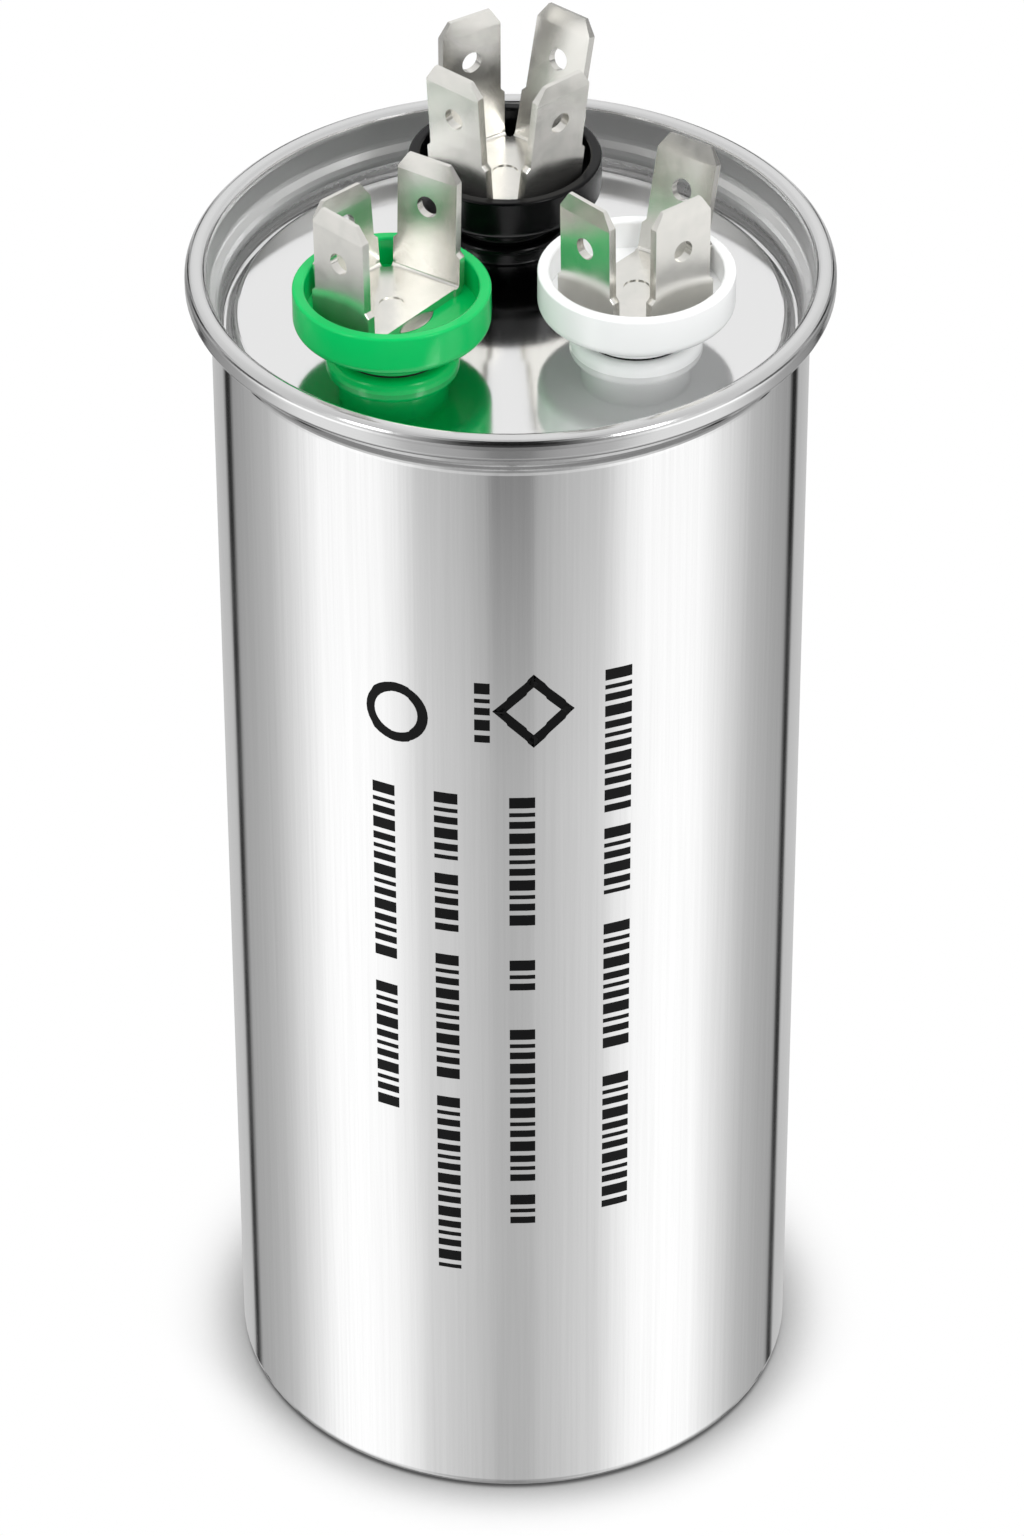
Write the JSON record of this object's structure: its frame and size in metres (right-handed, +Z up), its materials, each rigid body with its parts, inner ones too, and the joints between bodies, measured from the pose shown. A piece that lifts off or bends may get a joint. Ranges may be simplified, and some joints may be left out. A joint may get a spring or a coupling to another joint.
{
  "type": "motor run capacitor",
  "caption": "Round dual run capacitor: upright aluminium can, double-seamed lid, and groups of quick-connect blades standing in black, green and white insulating cups.",
  "frame": {"origin": "centre of the can's flat base", "axes": "+Z up along the can's axis to the blades, -Y towards the viewer of the picture, +X to the viewer's right"},
  "size_m": [0.0596, 0.0596, 0.141],
  "materials": {
    "drawn_aluminium": "satin, drawn along its length",
    "tinplate": "bright, nearly mirror-like",
    "black_phenolic": "glossy moulded",
    "green_phenolic": "glossy moulded",
    "white_phenolic": "glossy moulded",
    "tinned_brass": "bright tin plate, satin",
    "black_rubber": "matt",
    "ivory_plastic": "moulded, matt",
    "natural_polypropylene": "translucent, satin",
    "metallised_film": "silvery film wound tight",
    "sprayed_zinc": "sprayed, rough",
    "tinned_copper": "bright"
  },
  "bodies": {
    "root": {"can": "drawn_aluminium", "lid": "tinplate", "seam_compound": "black_rubber", "common_cup": "black_phenolic", "compressor_cup": "green_phenolic", "fan_cup": "white_phenolic", "common_collar": "black_phenolic", "compressor_collar": "green_phenolic", "fan_collar": "white_phenolic", "common_terminal": "tinned_brass", "compressor_terminal": "tinned_brass", "fan_terminal": "tinned_brass", "common_rivet": "tinned_brass", "compressor_rivet": "tinned_brass", "fan_rivet": "tinned_brass", "common_seal": "black_rubber", "compressor_seal": "black_rubber", "fan_seal": "black_rubber", "common_bush": "ivory_plastic", "compressor_bush": "ivory_plastic", "fan_bush": "ivory_plastic", "common_washer": "tinned_brass", "compressor_washer": "tinned_brass", "fan_washer": "tinned_brass", "common_tag": "tinned_brass", "compressor_tag": "tinned_brass", "fan_tag": "tinned_brass", "interrupter_disc": "ivory_plastic", "winding_holder": "natural_polypropylene", "winding_spacer": "ivory_plastic", "winding_tray": "natural_polypropylene", "can_liner": "natural_polypropylene", "compressor_winding": "metallised_film", "fan_winding": "metallised_film", "compressor_core": "natural_polypropylene", "fan_core": "natural_polypropylene", "compressor_zinc_bottom": "sprayed_zinc", "compressor_zinc_top": "sprayed_zinc", "fan_zinc_bottom": "sprayed_zinc", "fan_zinc_top": "sprayed_zinc", "common_wire": "tinned_copper", "compressor_wire": "tinned_copper", "fan_wire": "tinned_copper", "jumper_strip": "tinned_copper", "wire_sleeve": "black_rubber"}
  },
  "joints": []
}
